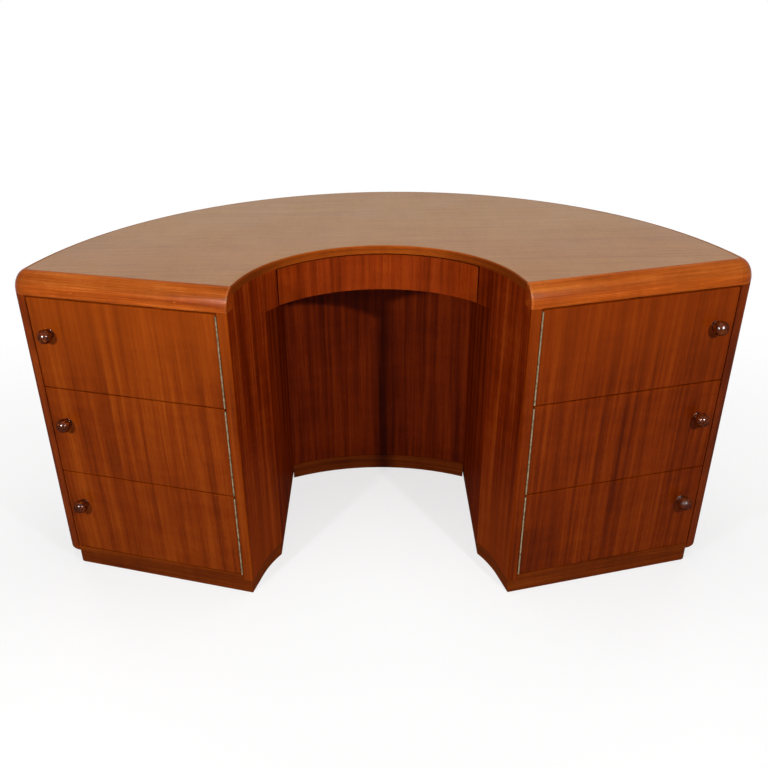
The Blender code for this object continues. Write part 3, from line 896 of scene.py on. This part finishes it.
def top_board():
    """Flat top between the rolled edges, with a rounded lip over the kneehole."""
    margin = edge_depth + joint_gap
    rims = [(0.0, height - top_thickness)]
    rims += [(inset, height - drop) for inset, drop in quarter_round(lip_radius, lip_steps)]
    sections = []
    for inset, z in rims:
        outline = outer_run(margin) + knee_run(inset, margin)[::-1]
        sections.append([placed(point, z) for point in outline])
    shape, _ = loft(sections)
    for face in shape.faces:
        face.material_index = 0 if abs(face.normal.z) > cos(level_tilt) else 1
    piece = add("top_board_veneered", shape, [veneer_top, lip_wood], top_lay, "top_board", "veneer_top")
    # Painted shade on the lip, none near its middle and full towards its sides
    deep = piece.data.attributes.new("deep", "FLOAT", "CORNER").data
    for face in piece.data.polygons:
        for corner in face.loop_indices if face.material_index else ():
            plan = piece.data.vertices[piece.data.loops[corner].vertex_index].co.xy - arc_centre
            deep[corner].value = within((abs(atan2(plan.x, plan.y)) - lip_painted_shade_start) / lip_painted_shade_reach)


def nosing_piece(side):
    """Rounded front edge of the top over one pedestal, eased at the kneehole."""
    outline = [(edge_depth, nosing_under), (0.0, nosing_under)] + roll(edge_depth, edge_drop)
    stations = quarter_round(inner_corner, round_steps)
    stations += [(front_length * share, 0.0) for share in nosing_station_shares]
    stations.append((front_length - joint_gap, 0.0))
    sections = []
    for distance, inset in stations:
        ring = []
        for depth, z in outline:
            drawn_in = depth + inset * (edge_depth - depth) / edge_depth
            lowered = z - inset * (z - nosing_under) / edge_drop
            ring.append(on_side(on_front(distance, drawn_in), side, lowered))
        sections.append(ring)
    shape, ends = loft(sections)
    ends[0].material_index = 1
    worn = wear_layer(shape)
    along = Vector(side_axes(side)[0])
    eased_to = on_side(knee_corner, side).xy.dot(along) + inner_corner
    for face in shape.faces:
        if face.calc_center_median().xy.dot(along) < eased_to:
            face[worn] = 1.0
    node = side_name("nosing", side)
    add(node + "_rounded", shape, [nosing_wood, veneer_knee_lit], lengthwise_flat(side), node, "nosing_wood")


# Drawer fronts, and the stiles that carry their hinges

def front_panel(node, side):
    """Front of one swing drawer, with softened edges."""
    low, high = extents(node, side)
    shape = ease(block(low, high), front_edge, front_edge_steps)
    set_to_front(shape, side)
    finish = veneer_right_shaded if side > 0 else veneer_left
    add(node + "_panel", shape, [finish], upright_flat(side, front_lean), node, "veneer_front")


def stile(side):
    """Narrow upright beside the hinges, rounded at the kneehole and faced like it."""
    node = side_name("stile", side)
    shape = merged_copy(node)
    corner = on_side(knee_corner, side)

    def at_corner(edge):
        return all((vertex.co.xy - corner.xy).length < inner_corner for vertex in edge.verts)

    ease(shape, inner_corner, round_steps, at_corner)
    to_kneehole = Vector((-side * front_way.x, -front_way.y, 0.0))
    for face in shape.faces:
        if face.normal.dot(to_kneehole) > cos(kneehole_tilt):
            face.material_index = 1
    finish = veneer_right_shaded if side > 0 else veneer_left
    add(node + "_upright", shape, [finish, veneer_knee_lit], upright_flat(side), node, "veneer_front")


# Knobs

def knob_profile(reach):
    """Foot, waist and ball of a knob, as (radius, distance) pairs from its seat to its crown."""
    bead = knob_foot_height / 2
    pairs = [(0.0, 0.0), (knob_foot_radius - bead, 0.0)]
    for step in range(1, knob_bead_steps):
        turn = -pi / 2 + pi * step / knob_bead_steps
        pairs.append((knob_foot_radius - bead + bead * cos(turn), bead + bead * sin(turn)))
    pairs.append((knob_foot_radius - bead, knob_foot_height))

    shoulder = knob_foot_radius - knob_shoulder_share * bead
    neck = knob_waist_radius * knob_neck_share
    dip = min(shoulder, neck) - knob_waist_radius * knob_narrowest_share
    ball = reach - knob_radius
    waist_length = ball - sqrt(knob_radius ** 2 - neck ** 2) - knob_foot_height
    for step in range(knob_waist_steps + 1):
        share = step / knob_waist_steps
        radius = shoulder + (neck - shoulder) * share - dip * sin(pi * share) ** knob_waist_fullness
        pairs.append((radius, knob_foot_height + waist_length * share))

    start = asin(neck / knob_radius)
    for step in range(1, knob_ball_steps):
        turn = start + (pi - start) * step / knob_ball_steps
        pairs.append((knob_radius * sin(turn), ball - knob_radius * cos(turn)))
    return pairs + [(0.0, reach)]


def turned(pairs, x, seat, z):
    """Shape turned about a line that comes out of a seat, from (radius, distance) pairs."""
    shape = bmesh.new()
    turns = [2 * pi * index / knob_sides for index in range(knob_sides)]
    rings = []
    for radius, distance in pairs[1:-1]:
        ring = [(x + radius * cos(turn), seat - distance, z + radius * sin(turn)) for turn in turns]
        rings.append([shape.verts.new(point) for point in ring])
    skin(shape, rings)
    for ring, pair in ((rings[0], pairs[0]), (rings[-1], pairs[-1])):
        middle = shape.verts.new((x, seat - pair[1], z))
        for index in range(knob_sides):
            shape.faces.new((middle, ring[index], ring[(index + 1) % knob_sides]))
    return shape


def knob(row, side):
    """Turned ball knob on a waisted neck."""
    node = side_name(row + "_knob", side)
    low, high = extents(node, side)
    middle = (low + high) / 2
    shape = turned(knob_profile(high[1] - low[1]), middle[0], high[1], middle[2])
    set_to_front(shape, side)
    add(node + "_turned", shape, [knob_wood], outward_flat(side), node, "knob_wood")


# Piano hinges

def knuckle_tree():
    """Geometry tree that adds a row of hinge knuckles, a little narrower at their ends, to a leaf."""
    group = bpy.data.node_groups.new("hinge_knuckles", "GeometryNodeTree")
    group.is_modifier = True
    asked = {"Leaf": "Geometry", "Count": "Int", "Pitch": "Float", "Length": "Float", "Radius": "Float",
             "Sides": "Int", "Start": "Float"}
    for name, kind in asked.items():
        group.interface.new_socket(name, in_out="INPUT", socket_type="NodeSocket" + kind)
    group.interface.new_socket("Hinge", in_out="OUTPUT", socket_type="NodeSocketGeometry")
    tree = Tree(group)
    sources = group.nodes.new("NodeGroupInput").outputs
    given = {name: Wire(tree, sources[name]) for name in asked}

    def upwards(distance):
        return tree.node("ShaderNodeCombineXYZ", {}, {"Z": distance}, "Vector")

    inputs = {"Count": given["Count"], "Start Location": upwards(given["Start"]),
              "Offset": upwards(given["Pitch"])}
    line = tree.node("GeometryNodeMeshLine", {"mode": "OFFSET"}, inputs, "Mesh")
    inputs = {"End": upwards(given["Length"])}
    spine = tree.node("GeometryNodeCurvePrimitiveLine", {"mode": "POINTS"}, inputs, "Curve")
    fine = tree.node("GeometryNodeResampleCurve", {}, {"Curve": spine, "Count": knuckle_stations}, "Curve")
    share = tree.node("GeometryNodeSplineParameter", {}, {}, "Factor")
    width = 1.0 - knuckle_end_share * abs(share * 2.0 - 1.0) ** knuckle_end_sharpness
    shaped = tree.node("GeometryNodeSetCurveRadius", {}, {"Curve": fine, "Radius": width}, "Curve")
    inputs = {"Resolution": given["Sides"], "Radius": given["Radius"]}
    ring = tree.node("GeometryNodeCurvePrimitiveCircle", {"mode": "RADIUS"}, inputs, "Curve")
    inputs = {"Curve": shaped, "Profile Curve": ring, "Fill Caps": True}
    tube = tree.node("GeometryNodeCurveToMesh", {}, inputs, "Mesh")
    row = tree.node("GeometryNodeInstanceOnPoints", {}, {"Points": line, "Instance": tube}, "Instances")
    real = tree.node("GeometryNodeRealizeInstances", {}, {"Geometry": row}, "Geometry")
    both = tree.node("GeometryNodeJoinGeometry", {}, {"Geometry": [given["Leaf"], real]}, "Geometry")
    inputs = {"Geometry": both, "Material": hinge_brass.material}
    finished = tree.node("GeometryNodeSetMaterial", {}, inputs, "Geometry")
    tree.connect(group.nodes.new("NodeGroupOutput").inputs["Hinge"], finished)
    return group


def socket_key(group, name):
    """Identifier of a tree's input."""
    return next(item.identifier for item in group.interface.items_tree
                if item.name == name and item.in_out == "INPUT")


def with_knuckles(leaf, group, values):
    """Shape of a leaf with its knuckles, made by the tree."""
    blank = bpy.data.objects.new("leaf_blank", meshed(leaf, "leaf_blank"))
    bpy.context.scene.collection.objects.link(blank)
    maker = blank.modifiers.new("knuckles", "NODES")
    maker.node_group = group
    for name, value in values.items():
        maker[socket_key(group, name)] = value
    graph = bpy.context.evaluated_depsgraph_get()
    made = bpy.data.meshes.new_from_object(blank.evaluated_get(graph), depsgraph=graph)
    bpy.data.objects.remove(blank, do_unlink=True)
    shape = bmesh.new()
    shape.from_mesh(made)
    return shape


def swing_axis(row, side):
    """Point on the pin that a swing drawer turns on."""
    name = side_name(row, side) + "_swing"
    return Vector(next(joint["pos_m"] for joint in frame["joints"] if joint["name"] == name))


def hinge_leaf(group, row, side, on_drawer):
    """One leaf of a piano hinge, on the drawer or on the stile, with every other knuckle."""
    node = side_name(row + ("_leaf" if on_drawer else "_stile_leaf"), side)
    axis = swing_axis(row, side)
    low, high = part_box(node)
    span = high.z - low.z
    pitch = span / knuckle_count
    length = pitch - knuckle_gap
    way = 1 if on_drawer else -1
    near, far = sorted((way * leaf_offset, way * (leaf_offset + leaf_thickness)))
    root = knuckle_radius + leaf_root
    own = range(1 if on_drawer else 0, knuckle_count, 2)
    starts = [pitch * index + knuckle_gap / 2 for index in own]
    leaf = ease(block((near, root, 0.0), (far, root + leaf_width, span)), leaf_edge, eased_steps)
    values = {"Count": len(own), "Pitch": 2 * pitch, "Length": length, "Radius": knuckle_radius,
              "Sides": knuckle_sides, "Start": starts[0]}
    shape = with_knuckles(leaf, group, values)
    for start in starts:
        block((near, 0.0, start), (far, root + leaf_root, start + length), shape)
    set_to_front(shape, side, (axis.x, axis.y, low.z))
    add(node + "_brass", shape, [hinge_brass], across_desk, node, "hinge_brass")


# The carcass

def behind_stile(edge):
    """Whether an edge lies away from the joint with the stile and the nosing."""
    limit = on_front(0.0, edge_depth).y + arc_centre.y + eased_edge
    return min(vertex.co.y for vertex in edge.verts) > limit


outer_wall()
top_board()
board("back_panel", veneer_wall, upright_round(back_panel_radius), "veneer_wall")
board("back_bottom", tray_wood, across_desk, "tray_wood")
board("back_strip", base_wood, lengthwise_round(back_strip_radius), "plinth_wood")
board("plinth_outer", base_wood, lengthwise_round(plinth_radius), "plinth_wood")

for side in (1, -1):
    nosing_piece(side)
    stile(side)
    board(side_name("knee_wall", side), veneer_knee_lit, upright_round(knee_radius), "veneer_wall",
          wanted=behind_stile)
    board(side_name("inner_side", side), veneer_wall, upright_deep, "veneer_wall")
    front_lay = lengthwise_flat(side)
    board(side_name("bottom", side), base_wood, front_lay, "plinth_wood", bottom_edge, soft_steps)
    board(side_name("plinth_front", side), base_wood, front_lay, "plinth_wood", plinth_edge, soft_steps)
    board(side_name("plinth_knee", side), base_wood, lengthwise_round(knee_radius), "plinth_wood")
    board(side_name("plinth_side", side), base_wood, front_to_back, "plinth_wood")
    board(side_name("apron_stile", side), veneer_wall, upright_round(knee_radius), "veneer_front")
    board(side_name("runner", side), tray_wood, front_to_back, "tray_wood", runner_edge)

# The drawers

board("centre_drawer_front", veneer_apron, upright_round(knee_radius), "veneer_front", apron_edge)
centre_lay = tray_lay(np.array((1.0, 0.0)), np.array((0.0, 1.0)))
board("centre_drawer_tray", tray_wood, centre_lay, "tray_wood", tray_edge, soft_steps)

hinge_knuckles = knuckle_tree()
for side in (1, -1):
    for row in ("lower", "middle", "upper"):
        front_panel(side_name(row + "_front", side), side)
        swing_lay = tray_lay(*side_axes(side), swing_axis(row, side))
        board(side_name(row + "_tray", side), tray_wood, swing_lay, "tray_wood", tray_edge, soft_steps)
        knob(row, side)
        hinge_leaf(hinge_knuckles, row, side, True)
        hinge_leaf(hinge_knuckles, row, side, False)

settle()


# Floor, light and camera

# Floor: its half width, its two greys, its glow, and how far from the middle it turns white
floor_reach = 80.0
floor_dark = (0.31, 0.31, 0.31)
floor_light = (0.33, 0.33, 0.33)
floor_glow = 0.71
floor_white_start = 0.7
floor_white_full = 2.3

# Light from all round, where the white that is seen is 1
ambient = 0.03

# Places of the lamps, what they point at, and the sides of their squares
right_place = (1.038, -1.766, 1.51)
left_place = (-1.096, -1.715, 1.31)
front_place = (0.0, -2.25, 1.62)
above_place = (0.0, -0.2, 3.0)
behind_place = (1.9, 2.0, 0.75)
pair_target = (0.0, -0.1, 0.4)
front_target = (0.0, -0.1, 0.5)
above_target = (0.0, 0.0, 0.7)
behind_target = (0.3, 0.0, 0.35)
pair_size = 0.07
front_size = 0.03
above_size = 1.8
behind_size = 1.1

# Power of the lamps, in watts
power_right = 16.5
power_left = 14.5
power_front = 1.8
power_glint = 280.0
power_above = 34.0
power_behind = 22.0

# Camera, as solved from the edges that the photograph shows
sensor_width = 36.0
focal_length = 39.96352
frame_shift_x = 0.053181
frame_shift_y = 0.057988
camera_place = (-0.0098, -1.9455408, 1.3210)
camera_degrees = (60.63149, 1.43815, 1.57433)


def floor_finish():
    """Pale floor, seen as white by the camera and in reflections, that keeps the desk's shadow."""
    finish = Finish("floor_pale")
    lay = finish.node("ShaderNodeTexCoord", {}, {}, "Object")
    cloud = finish.noise(lay, floor_cloud_rate, 2.0)
    finish.set(Roughness=0.85 + cloud * 0.05, Specular_IOR_Level=0.0)
    finish.set(Base_Color=finish.mix(cloud + 0.5, floor_dark, floor_light))

    def glowing(strength):
        return finish.node("ShaderNodeEmission", {}, {"Color": white, "Strength": strength}, "Emission")

    def mixed(share, first, second):
        return finish.node("ShaderNodeMixShader", {}, {0: share, 1: first, 2: second}, "Shader")

    plain = Wire(finish, finish.surface.outputs["BSDF"])
    near = finish.node("ShaderNodeAddShader", {}, {0: plain, 1: glowing(floor_glow)}, "Shader")
    distance = finish.node("ShaderNodeVectorMath", {"operation": "LENGTH"}, {0: lay}, "Value")
    far = distance.between(floor_white_start, floor_white_full)
    ground = mixed(far, near, glowing(1.0))
    output = finish.tree.nodes["Material Output"]
    finish.connect(output.inputs["Surface"], mixed(finish.seen(), plain, ground))
    return finish


def floor():
    """Wide flat floor under the desk."""
    mesh = bpy.data.meshes.new("floor")
    corners = [(x * floor_reach, y * floor_reach, 0.0) for x, y in ((-1, -1), (1, -1), (1, 1), (-1, 1))]
    mesh.from_pydata(corners, [], [(0, 1, 2, 3)])
    mesh.materials.append(floor_finish().material)
    plane = bpy.data.objects.new("floor", mesh)
    bpy.context.scene.collection.objects.link(plane)


def world():
    """Even light all round, seen as white by the camera and in reflections."""
    studio = bpy.data.worlds.new("studio")
    studio.use_nodes = True
    sky = Tree(studio.node_tree)
    background = studio.node_tree.nodes["Background"]
    sky.connect(background.inputs["Color"], white)
    sky.connect(background.inputs["Strength"], ambient + sky.seen() * (1.0 - ambient))
    bpy.context.scene.world = studio


def lamp(name, place, target, size, power, shines=True, takers=()):
    """Square lamp that the camera doesn't see.

    It may be left out of reflections. With takers it lights nothing, and shows only in their reflections.
    """
    light = bpy.data.lights.new(name, "AREA")
    light.shape = "SQUARE"
    light.size = size
    light.energy = power
    lamp_object = bpy.data.objects.new(name, light)
    lamp_object.location = place
    aim = Vector(target) - Vector(place)
    lamp_object.rotation_euler = aim.to_track_quat("-Z", "Y").to_euler()
    lamp_object.visible_camera = False
    lamp_object.visible_glossy = shines
    if takers:
        lamp_object.visible_diffuse = False
        chosen = bpy.data.collections.new(name + "_takers")
        for taker in takers:
            chosen.objects.link(taker)
        lamp_object.light_linking.receiver_collection = chosen
    bpy.context.scene.collection.objects.link(lamp_object)


def camera():
    """Camera that sees the desk as photographed."""
    lens = bpy.data.cameras.new("camera")
    lens.sensor_width = sensor_width
    lens.lens = focal_length
    lens.shift_x = frame_shift_x
    lens.shift_y = frame_shift_y
    eye = bpy.data.objects.new("camera", lens)
    eye.location = camera_place
    eye.rotation_euler = Euler([radians(angle) for angle in camera_degrees], "XYZ")
    bpy.context.scene.collection.objects.link(eye)
    bpy.context.scene.camera = eye


floor()
world()
lamp("lamp_right", right_place, pair_target, pair_size, power_right, shines=False)
lamp("lamp_left", left_place, pair_target, pair_size, power_left, shines=False)
lamp("lamp_front", front_place, front_target, front_size, power_front, shines=False)
hard_polished = [piece for piece, node, slot in pieces if slot in ("knob_wood", "nosing_wood")]
lamp("glint_right", right_place, pair_target, pair_size, power_glint, takers=hard_polished)
lamp("glint_left", left_place, pair_target, pair_size, power_glint, takers=hard_polished)
lamp("lamp_above", above_place, above_target, above_size, power_above)
for side in (1, -1):
    place, target = [(side * spot[0], spot[1], spot[2]) for spot in (behind_place, behind_target)]
    lamp(side_name("lamp_behind", side), place, target, behind_size, power_behind, shines=False)
camera()
bpy.context.scene.view_settings.view_transform = "Standard"
